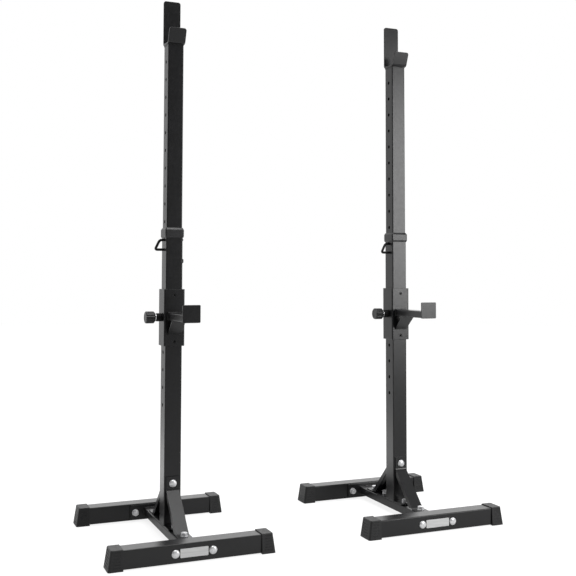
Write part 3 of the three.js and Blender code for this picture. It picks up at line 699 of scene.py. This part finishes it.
def make_liner():
    """The plastic liner and its two hollow buttons, which show in the sleeve's front."""
    tube = square_tube(*LINER_TUBE, SLEEVE_BOTTOM, SLEEVE_TOP)
    socket, nose_hole = 2.6, 5.1
    sockets = [rod(socket, -32, -20, "Y", (0, z)) for z in BUTTON_HEIGHTS]
    cut(tube, rod(nose_hole, -30, -20, "X", (0, SPRING_PIN_HEIGHT)), *sockets)
    polish(tube, 0.3)
    buttons = []
    for z in BUTTON_HEIGHTS:
        button = turned([(3.9, 0), (3.9, 2.2), (3.3, 2.8)], 24)
        cut(button, rod(socket, -1, 4))
        forwards = Matrix.Rotation(math.pi / 2, 4, "X")
        button.data.transform(Matrix.Translation((0, -28.8, z)) @ forwards)
        buttons.append(polish(button, 0, angle=25))
    return joined(tube, *buttons)


def make_arm():
    """The catch arm: flat tube, end plate and slanted plate under it, welded together."""
    axis = 667.5  # height of the tube's middle
    root, front, thickness = -SLEEVE_HALF - GAP, -212, 4  # the end plate's face and thickness
    start = front + thickness - WELD
    tube = laid(square_tube(*ARM_TUBE, 0, root - start), "Y", (0, start, axis))
    plate = laid(rounded_bar(53, 51, 3, 0, thickness), "Y", (0, front, 681))
    half_width, head, head_rear = 21, -86, -79.87
    foot_height, head_height, heel = 611.5, 657.5, 5.28
    low, high = (-half_width, head, foot_height), (half_width, head_rear, head_height)
    gusset = block(low, high)
    foot_end = foot_height + 0.5
    middle = (head + head_rear) / 2
    for test, step in (
        (lambda v: v.co.z < foot_end and v.co.y > middle, (0, root - head_rear, heel)),
        (lambda v: v.co.z < foot_end and v.co.y < middle, (0, root - head, 0)),
    ):
        shift(gusset, test, step)
    weld(tube, plate, gusset)
    polish(tube, 0.6, 3)
    across = range(-18, 19, 3)
    beads = [
        laid(seam(ARM_TUBE, 0, 1.8), "Y", (0, -34.4, axis)),
        laid(seam(ARM_TUBE, 0, 1.5), "Y", (0, -207.4, axis)),
        bead([Vector((x, -34.1, 613)) for x in across], 1.5, False),
        bead([Vector((x, -86.4, 656.2)) for x in across], 1.4, False),
    ]
    return joined(tube, *beads)


def out_of_sleeve(piece):
    """Turns a piece made along +Z so that it stands out of the sleeve's left face."""
    outwards = Matrix.Rotation(-math.pi / 2, 4, "Y")
    piece.data.transform(Matrix.Translation((-SLEEVE_HALF, 0, SPRING_PIN_HEIGHT)) @ outwards)
    return piece


# The profiles of the spring pin are (radius, distance out of the sleeve's face).
def make_barrel():
    """The spring pin's housing, with the bore that its shoulder and spring move in."""
    body = turned([(8, -3), (8, GAP), (11.3, GAP), (12.5, 1.5), (12.5, 15.8), (11.3, 17)])
    shoulder_bore, nose_bore, stem_bore = 6.4, 5.1, 3.3
    cut(body, rod(shoulder_bore, -1.3, 15))
    cut(body, rod(nose_bore, -5, 5), rod(stem_bore, 5, 20))
    return out_of_sleeve(polish(body, 0.4))


def make_knob():
    """The moulded knob with ten scooped flutes."""
    levels = [(11.9, 21.3), (14.2, 21.3), (18.5, 25.6), (18.5, 47.4)]
    levels += [(17.6, 49.3), (15.8, 50.3), (11, 50.3), (10.4, 49.7)]
    body = turned(levels, 60)
    scoops, count, circle, radius = [], 10, 22, 5.6
    for k in range(count):
        angle = 2 * math.pi * k / count
        at = (circle * math.cos(angle), circle * math.sin(angle))
        scoops.append(rod(radius, 20, 53, "Z", at, 24))
    cut(body, *scoops)
    return out_of_sleeve(polish(body, 0.5, 3, 25))


def make_plunger():
    """The steel plunger: nose, shoulder and stem, with the bright ferrule that the knob sits on."""
    levels = [(4.2, -7.2), (4.8, -6.6), (4.8, -1), (6, -1), (6, 1), (3, 1), (3, 17.3)]
    levels += [(10.8, 17.3), (11.5, 18), (11.5, 22)]
    return out_of_sleeve(polish(turned(levels), 0.2, 2, 28))


def make_coil():
    """The plunger's spring, of round wire."""
    turns, steps, mean_radius, wire_radius = 5, 24, 5, 0.5
    start, length = 1.8, 12.4
    points = []
    for k in range(turns * steps + 1):
        angle = 2 * math.pi * k / steps
        rise = start + length * k / (turns * steps)
        points.append(Vector((mean_radius * math.cos(angle), mean_radius * math.sin(angle), rise)))
    return out_of_sleeve(smooth(wire(points, wire_radius, False, None, 8)))


# ---------------------------------------------------------------- materials
WHITE = (1, 1, 1, 1)
NOISE_SPAN = (0.3, 0.7)  # where most of a noise's values lie


def paint_of(hex_code):
    """An sRGB hex value as a linear colour."""
    parts = [int(hex_code[k : k + 2], 16) / 255 for k in (0, 2, 4)]
    linear = [p / 12.92 if p <= 0.04045 else ((p + 0.055) / 1.055) ** 2.4 for p in parts]
    return (*linear, 1.0)


def add(tree, kind, inputs=None, **settings):
    """Adds one node with its settings, its values and its links."""
    made = tree.nodes.new(kind)
    for key, value in settings.items():
        setattr(made, key, value)
    for key, value in (inputs or {}).items():
        if isinstance(value, bpy.types.NodeSocket):
            tree.links.new(value, made.inputs[key])
        else:
            made.inputs[key].default_value = value
    return made


def surface(name):
    """A new material with its shader and its place on the piece."""
    material = bpy.data.materials.new(name)
    material.use_nodes = True
    tree = material.node_tree
    shader = tree.nodes["Principled BSDF"]
    place = add(tree, "ShaderNodeTexCoord").outputs["Object"]
    return material, tree, shader, place


def math_of(tree, operation, first, second):
    made = add(tree, "ShaderNodeMath", {0: first, 1: second}, operation=operation)
    return made.outputs[0]


def grain(tree, place, millimetres, detail=2.0, roughness=0.5):
    """Noise whose grains are about this many millimetres across."""
    scale = 1 / (millimetres * MM)
    noise = {"Vector": place, "Scale": scale, "Detail": detail, "Roughness": roughness}
    return add(tree, "ShaderNodeTexNoise", noise).outputs["Fac"]


def between(tree, value, low, high):
    """A noise value spread out to run from low to high."""
    start, end = NOISE_SPAN
    spread = {"Value": value, "From Min": start, "From Max": end, "To Min": low, "To Max": high}
    return add(tree, "ShaderNodeMapRange", spread).outputs["Result"]


def shades(tree, value, dark, light):
    """A noise value as a colour between a dark and a light one."""
    ramp = add(tree, "ShaderNodeValToRGB", {"Fac": value})
    for mark, at, colour in zip(ramp.color_ramp.elements, NOISE_SPAN, (dark, light)):
        mark.position = at
        mark.color = paint_of(colour)
    return ramp.outputs["Color"]


def levels_along(tree, value, stops):
    """Grey levels that follow a value through (value, level) stops."""
    first, last = stops[0][0], stops[-1][0]
    span = {"Value": value, "From Min": first, "From Max": last}
    share = add(tree, "ShaderNodeMapRange", span).outputs["Result"]
    ramp = add(tree, "ShaderNodeValToRGB", {"Fac": share})
    ramp.color_ramp.interpolation = "EASE"
    marks = ramp.color_ramp.elements
    while len(marks) < len(stops):
        marks.new(0.5)
    for mark, (at, level) in zip(marks, stops):
        mark.position = (at - first) / (last - first)
        mark.color = (level, level, level, 1)
    return ramp.outputs["Color"]


def bumps(tree, shader, height, millimetres, strength):
    relief = {"Height": height, "Distance": millimetres * MM, "Strength": strength}
    made = add(tree, "ShaderNodeBump", relief)
    tree.links.new(made.outputs["Normal"], shader.inputs["Normal"])


def coloured(tree, shader, noise, dark, light):
    tree.links.new(shades(tree, noise, dark, light), shader.inputs["Base Color"])


def roughened(tree, shader, noise, low, high):
    tree.links.new(between(tree, noise, low, high), shader.inputs["Roughness"])


def powder_coat():
    """Black polyester powder coat, baked on steel: semi-gloss with orange peel.

    Real orange peel is about 1.5 mm across, too fine for the render, so it is drawn at 5 mm.
    """
    material, tree, shader, place = surface("black_powder_coat")
    cloud = grain(tree, place, 60, 3)
    coloured(tree, shader, cloud, "111112", "161618")
    roughened(tree, shader, grain(tree, place, 12, 3), 0.28, 0.32)
    shader.inputs["IOR"].default_value = 1.5
    bumps(tree, shader, grain(tree, place, 5, 2), 0.04, 0.3)
    return material


def shoe_rubber():
    """Moulded rubber, dull from its filler, with the fine grain of the mould."""
    material, tree, shader, place = surface("moulded_black_rubber")
    coloured(tree, shader, grain(tree, place, 25, 4), "161617", "202021")
    roughened(tree, shader, grain(tree, place, 6, 3), 0.42, 0.54)
    shader.inputs["IOR"].default_value = 1.5
    bumps(tree, shader, grain(tree, place, 2.5, 4, 0.7), 0.25, 0.5)
    return material


def nylon():
    """Injection-moulded nylon: black, with the satin of a spark-eroded mould."""
    material, tree, shader, place = surface("moulded_black_nylon")
    coloured(tree, shader, grain(tree, place, 18, 3), "1a1a1b", "242426")
    roughened(tree, shader, grain(tree, place, 4, 3), 0.32, 0.4)
    shader.inputs["IOR"].default_value = 1.53
    bumps(tree, shader, grain(tree, place, 2, 3, 0.6), 0.12, 0.4)
    return material


def zinc_plate():
    """Bright zinc plating with a clear passivation, which clouds the steel's shine a little."""
    material, tree, shader, place = surface("bright_zinc_plating")
    coloured(tree, shader, grain(tree, place, 7, 3), "e4e5e7", "f8f8f9")
    roughened(tree, shader, grain(tree, place, 3, 3), 0.26, 0.4)
    shader.inputs["Metallic"].default_value = 0.5
    bumps(tree, shader, grain(tree, place, 1.5, 2), 0.05, 0.25)
    return material


def black_oxide():
    """Black-oxided steel: a thin dark skin that takes away most of its shine."""
    material, tree, shader, place = surface("black_oxide_steel")
    coloured(tree, shader, grain(tree, place, 9, 3), "0b0b0c", "121213")
    roughened(tree, shader, grain(tree, place, 4, 3), 0.48, 0.6)
    shader.inputs["Metallic"].default_value = 0.1
    shader.inputs["Specular IOR Level"].default_value = 0.25
    bumps(tree, shader, grain(tree, place, 2, 3), 0.06, 0.3)
    return material


def spring_wire():
    """Cold-drawn spring steel wire, grey and lightly oiled, with its drawing marks."""
    material, tree, shader, place = surface("drawn_spring_steel")
    coloured(tree, shader, grain(tree, place, 3, 3), "85888c", "a3a6aa")
    roughened(tree, shader, grain(tree, place, 1, 2), 0.28, 0.4)
    shader.inputs["Metallic"].default_value = 1.0
    return material


def lacquered_aluminium():
    """Thin rolled aluminium, brushed along its length and lacquered in light silver.

    Real brush lines are under 0.1 mm apart; they are drawn 1 mm apart so that they show.
    """
    material, tree, shader, place = surface("lacquered_aluminium")
    stretch = {"Vector": place, "Scale": (0.02, 1.0, 1.0)}
    brushed = grain(tree, add(tree, "ShaderNodeMapping", stretch).outputs["Vector"], 1, 2)
    coloured(tree, shader, brushed, "dcdddd", "f0f0f0")
    roughened(tree, shader, brushed, 0.34, 0.46)
    shader.inputs["Metallic"].default_value = 0.2
    return material


# ---------------------------------------------------------------- setting the pieces down
def matrix_of(at, turn=None):
    return Matrix.Translation(at) @ (turn or Matrix.Identity(4))


def set_down(master, side, name, body, material, nodes, where=None):
    """One copy of a finished piece on one stand, in metres, riding on its body."""
    piece = master.copy()
    piece.data = master.data.copy()
    scene.collection.objects.link(piece)
    piece.name = side + "_" + name
    piece.data.name = piece.name
    local = where or Matrix.Identity(4)
    world = Matrix.Translation((AXIS[side].x, AXIS[side].y, 0)) @ Matrix.Scale(MM, 4) @ local
    piece.data.transform(world)
    piece.data.materials.clear()
    piece.data.materials.append(material)
    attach(piece, body if body == "base" else side + "_" + body)
    if nodes:
        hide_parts(*[side + "_" + node for node in nodes])
    return piece


def set_on_both(master, copies, body, material):
    """The same piece on both stands; copies holds (name, nodes it stands for, place)."""
    made = []
    for side in AXIS:
        for name, nodes, where in copies:
            made.append(set_down(master, side, name, body, material, nodes, where))
    bpy.data.objects.remove(master)
    return made


def dress_stands():
    coat, rubber, plastic = powder_coat(), shoe_rubber(), nylon()
    zinc, oxide = zinc_plate(), black_oxide()
    half_turn = Matrix.Rotation(math.pi, 4, "Z")
    rows, ends = (("front", -1), ("rear", 1)), (("left", -1), ("right", 1))

    feet, shoes, foot_bolts = [], [], []
    for row, s in rows:
        feet.append((f"{row}_foot", [f"{row}_foot_tube"], matrix_of((0, s * FOOT_SETBACK[row], 0))))
        for end, hand in ends:
            at = (hand * FOOT_HALF_LENGTH, s * FOOT_SETBACK[row], 0)
            place = matrix_of(at, half_turn if hand < 0 else None)
            shoes.append((f"{row}_{end}_rubber_shoe", [f"{row}_{end}_shoe"], place))
            at = (hand * BOLT_OFFSET, s * (FOOT_SETBACK[row] + FOOT_HALF + GAP), FOOT_AXIS)
            place = matrix_of(at, Matrix.Rotation(s * math.pi / 2, 4, "X"))
            foot_bolts.append((f"{row}_foot_fastener_{end}", [f"{row}_foot_bolt_{end}"], place))
    set_on_both(make_foot(), feet, "base", coat)
    set_on_both(make_shoe(), shoes, "base", rubber)

    set_on_both(make_beam(), [("beam_weldment", ["cross_beam"], None)], "base", coat)
    upright = [("upright_weldment", ["upright_tube"], None)]
    set_on_both(make_upright(), upright, "base", coat)
    braces = [
        ("front_pressed_brace", ["front_brace"], None),
        ("rear_pressed_brace", ["rear_brace"], half_turn),
    ]
    set_on_both(make_brace(), braces, "base", coat)

    # each bolt is made for what it clamps: tube or beam, flange, plate or braces
    foot_grip, brace_grip, base_grip, through_grip = 57.3, 28.5, 29.3, 59.0
    brace_bolts, base_bolts = [], []
    under = BEAM_BOTTOM - GAP
    for row, s in rows:
        at = matrix_of((0, s * BRACE_BOLT, under))
        brace_bolts.append((f"{row}_brace_fastener", [f"{row}_brace_bolt"], at))
        at = matrix_of((0, BASE_BOLT[row], under))
        base_bolts.append((f"{row}_base_fastener", [f"{row}_base_bolt"], at))
    seat = (0, -UPRIGHT_HALF - BRACE_THICKNESS - 2 * GAP, THROUGH_BOLT_HEIGHT)
    at = matrix_of(seat, Matrix.Rotation(-math.pi / 2, 4, "X"))
    through = [("brace_through_fastener", ["brace_through_bolt"], at)]
    set_on_both(make_bolt(foot_grip), foot_bolts, "base", zinc)
    set_on_both(make_bolt(brace_grip), brace_bolts, "base", zinc)
    set_on_both(make_bolt(base_grip), base_bolts, "base", zinc)
    set_on_both(make_bolt(through_grip), through, "base", zinc)

    outwards = Matrix.Rotation(-math.pi / 2, 4, "Y")
    at = matrix_of((UPRIGHT_HALF + GAP, 0, SIDE_SCREW_HEIGHT), outwards)
    screw = [("side_stop_screw", ["side_screw"], at)]
    set_on_both(make_side_screw(), screw, "base", oxide)
    plate = [("bare_plate", [], None)]
    set_on_both(make_name_plate(), plate, "base", lacquered_aluminium())
    collar = [("upright_collar", ["collar"], None)]
    set_on_both(make_collar(), collar, "base", plastic)

    set_on_both(make_mast(), [("mast", ["mast_tube"], None)], "mast", coat)
    set_on_both(make_hook(), [("hook_plate", ["bar_hook"], None)], "mast", coat)
    pin = [("wire_lock_pin", ["lock_pin"], None)]
    set_on_both(make_lock_pin(), pin, "lock", oxide)

    sleeve = [("sleeve", ["carriage_sleeve"], None)]
    set_on_both(make_sleeve(), sleeve, "carriage", coat)
    liner = [("sleeve_liner", ["carriage_liner"], None)]
    set_on_both(make_liner(), liner, "carriage", plastic)
    arm = [("catch_weldment", ["catch_arm"], None)]
    set_on_both(make_arm(), arm, "carriage", coat)
    barrel = [("spring_pin_barrel", ["pin_barrel"], None)]
    set_on_both(make_barrel(), barrel, "carriage", oxide)
    knob = [("fluted_knob", ["pull_knob"], None)]
    set_on_both(make_knob(), knob, "plunger", plastic)
    set_on_both(make_plunger(), [("plunger", ["pull_knob"], None)], "plunger", zinc)

    coil = [("coil_spring", ["plunger_spring"], None)]
    coils = set_on_both(make_coil(), coil, "carriage", spring_wire())
    outer_end = SLEEVE_HALF + 14.7  # where the coil bears on the barrel
    for piece, side in zip(coils, AXIS):
        anchor = AXIS[side] + Vector((-outer_end * MM, 0, 0))
        anchor.z = SPRING_PIN_HEIGHT * MM
        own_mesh(piece)


# ---------------------------------------------------------------- floor, world and lamps
def lay_floor():
    """A pale floor that the camera sees as white and that keeps the shadow.

    In shiny paint it shows dim before the stands, and as a bright band behind them.
    """
    rest()
    bpy.ops.mesh.primitive_circle_add(
        vertices=96, radius=12, fill_type="NGON", location=(0, 0, -0.0006)
    )
    floor = settle(bpy.context.object)
    floor.name = "floor"
    material = bpy.data.materials.new("pale_floor")
    material.use_nodes = True
    tree = material.node_tree
    tree.nodes.clear()
    path = add(tree, "ShaderNodeLightPath")
    place = add(tree, "ShaderNodeTexCoord").outputs["Object"]
    depth = add(tree, "ShaderNodeSeparateXYZ", {"Vector": place}).outputs["Y"]
    dim = ((-3, 0.15), (-1.2, 0.2), (-0.4, 0.42), (0.2, 0.3))
    band = ((0.85, 1.35), (1.15, 1.3), (2.1, 0.6))
    shine = levels_along(tree, depth, dim + band)
    seen = math_of(
        tree, "MAXIMUM", path.outputs["Is Camera Ray"], path.outputs["Is Transmission Ray"]
    )
    plain = math_of(tree, "MULTIPLY", seen, 0.82)
    mirrored = math_of(tree, "MULTIPLY", path.outputs["Is Glossy Ray"], shine)
    glow = math_of(tree, "ADD", plain, mirrored)
    light = add(tree, "ShaderNodeEmission", {"Color": WHITE, "Strength": glow})
    matt = add(tree, "ShaderNodeBsdfDiffuse", {"Color": (0.34, 0.34, 0.34, 1)})
    both = add(tree, "ShaderNodeAddShader", {0: light.outputs[0], 1: matt.outputs[0]})
    add(tree, "ShaderNodeOutputMaterial", {"Surface": both.outputs[0]})
    floor.data.materials.append(material)


def set_world():
    """White for the camera; for the object, dim in front and bright behind and to the right."""
    world = bpy.data.worlds.new("studio")
    scene.world = world
    world.use_nodes = True
    tree = world.node_tree
    tree.nodes.clear()
    path = add(tree, "ShaderNodeLightPath")
    way = add(tree, "ShaderNodeTexCoord").outputs["Generated"]
    parts = add(tree, "ShaderNodeSeparateXYZ", {"Vector": way}).outputs

    def rising(value, start, end, low, high):
        spread = {"Value": value, "From Min": start, "From Max": end, "To Min": low, "To Max": high}
        made = add(tree, "ShaderNodeMapRange", spread, interpolation_type="SMOOTHSTEP")
        return made.outputs["Result"]

    backwards = rising(parts["Y"], -0.45, 0.35, 0.06, 1.0)
    rightwards = rising(parts["X"], -0.25, 0.15, 0.8, 1.4)
    level = math_of(tree, "MULTIPLY", backwards, rightwards)
    studio = add(tree, "ShaderNodeBackground", {"Color": WHITE, "Strength": level})
    plain = add(tree, "ShaderNodeBackground", {"Color": WHITE, "Strength": 1.0})
    chosen = add(
        tree,
        "ShaderNodeMixShader",
        {0: path.outputs["Is Camera Ray"], 1: studio.outputs[0], 2: plain.outputs[0]},
    )
    add(tree, "ShaderNodeOutputWorld", {"Surface": chosen.outputs[0]})


def hang_lamp(name, at, target, size, watts):
    data = bpy.data.lights.new(name, "AREA")
    data.shape = "RECTANGLE"
    data.size, data.size_y = size
    data.energy = watts
    lamp = bpy.data.objects.new(name, data)
    scene.collection.objects.link(lamp)
    lamp.location = at
    lamp.rotation_euler = (Vector(target) - Vector(at)).to_track_quat("-Z", "Y").to_euler()
    lamp.visible_camera = False


def light_stage():
    scene.view_settings.view_transform = "Standard"
    set_world()
    lay_floor()
    hang_lamp("overhead", (0.2, -0.9, 3.6), (0, 0, 0.7), (2.6, 2.0), 30)
    hang_lamp("front_top", (-0.2, -1.9, 3.9), (0, 0, 0.7), (2.0, 1.0), 38)
    hang_lamp("front_right", (1.95, -2.6, 1.3), (0.39, 0, 1.15), (1.2, 1.6), 47)


place_camera()
dress_stands()
light_stage()
